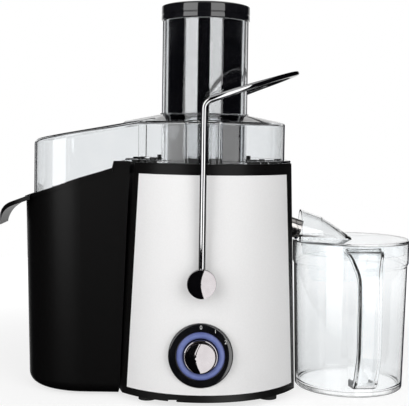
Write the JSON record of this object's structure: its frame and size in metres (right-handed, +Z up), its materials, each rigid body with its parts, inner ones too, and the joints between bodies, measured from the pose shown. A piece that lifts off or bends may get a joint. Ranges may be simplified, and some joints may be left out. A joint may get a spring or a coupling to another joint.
{
  "type": "centrifugal juicer",
  "caption": "Countertop centrifugal juicer with round feed chute and pusher, clear hooded lid, swinging chrome locking arm, lit dial, tilting pulp bin and clear lidded jug.",
  "frame": {"origin": "on the table, under the drive axis, at the middle of the footprint", "axes": "+X to the jug, +Y away from the user, +Z up along the drive axis"},
  "size_m": [0.3935, 0.2164, 0.3655],
  "materials": {
    "satin_black": "satin moulded plastic",
    "white_panel": "smooth white lacquer",
    "rubber": "soft moulded rubber",
    "zinc_steel": "plated steel",
    "blue_light": "frosted ring lit from behind",
    "circuit_board": "coated board",
    "inner_plastic": "plain moulded plastic",
    "core_steel": "stacked steel sheets",
    "copper_wire": "enamelled copper",
    "cast_alloy": "die cast",
    "brass_holder": "stamped brass",
    "carbon": "pressed carbon",
    "bowl_steel": "drawn stainless steel",
    "sieve_steel": "fine perforated stainless sheet",
    "clear_plastic": "clear polished plastic",
    "clear_jug": "clear polished plastic",
    "chrome": "bright chrome plate",
    "gloss_black": "polished black plastic",
    "bin_black": "satin black plastic"
  },
  "bodies": {
    "base": {"housing": "satin_black", "front_panel": "white_panel", "top_rim": "satin_black", "base_plate": "satin_black", "rubber_feet": "rubber", "base_screws": "zinc_steel", "cord_inlet": "rubber", "dial_bezel": "satin_black", "light_ring": "blue_light", "lamp_board": "circuit_board", "rotary_switch": "inner_plastic", "interlock_switch": "inner_plastic", "control_board": "circuit_board", "motor_deck": "inner_plastic", "shaft_seal": "rubber", "motor_stator": "core_steel", "field_coils": "copper_wire", "upper_motor_bracket": "cast_alloy", "lower_motor_bracket": "cast_alloy", "motor_screws": "zinc_steel", "motor_dampers": "rubber", "upper_bearing": "zinc_steel", "lower_bearing": "zinc_steel", "brush_holders": "brass_holder", "carbon_brushes": "carbon", "juice_bowl": "bowl_steel", "juice_spout": "bowl_steel", "feed_lid": "clear_plastic", "arm_bushes": "inner_plastic", "arm_pivot_pins": "zinc_steel"},
    "arm": {"locking_arm": "chrome", "arm_pivot_caps": "chrome"},
    "pusher": {"pusher_barrel": "gloss_black", "pusher_cap": "gloss_black"},
    "dial": {"dial_knob": "chrome", "switch_spindle": "zinc_steel"},
    "spinner": {"motor_shaft": "zinc_steel", "armature": "core_steel", "armature_windings": "copper_wire", "commutator": "copper_wire", "cooling_fan": "inner_plastic", "drive_coupling": "inner_plastic", "basket_hub": "inner_plastic", "grater_disc": "bowl_steel", "filter_cone": "sieve_steel", "basket_rim": "bowl_steel"},
    "bin": {"pulp_bin": "bin_black"},
    "jug": {"juice_jug": "clear_jug"},
    "jug_cover": {"jug_lid": "clear_jug"}
  },
  "joints": [
    {"name": "basket_spin", "type": "hinge", "parent": "base", "child": "spinner", "pos_m": [0, 0, 0.16], "axis": [0, 0, 1], "continuous": true},
    {"name": "dial_turn", "type": "hinge", "parent": "base", "child": "dial", "pos_m": [0, -0.1, 0.0474], "axis": [0, 1, 0], "range_deg": [0, 60]},
    {"name": "arm_swing", "type": "hinge", "parent": "base", "child": "arm", "pos_m": [0, 0, 0.1117], "axis": [0, 1, 0], "range_deg": [0, 50]},
    {"name": "pusher_slide", "type": "slide", "parent": "base", "child": "pusher", "axis": [0, 0, 1], "range_m": [0, 0.17]},
    {"name": "bin_tilt", "type": "hinge", "parent": "base", "child": "bin", "pos_m": [-0.072, 0, 0.207], "axis": [0, 1, 0], "range_deg": [0, 15]},
    {"name": "jug_slide", "type": "slide", "parent": "base", "child": "jug", "axis": [1, 0, 0], "range_m": [0, 0.14]},
    {"name": "jug_lid_lift", "type": "slide", "parent": "jug", "child": "jug_cover", "axis": [0, 0, 1], "range_m": [0, 0.05]}
  ]
}
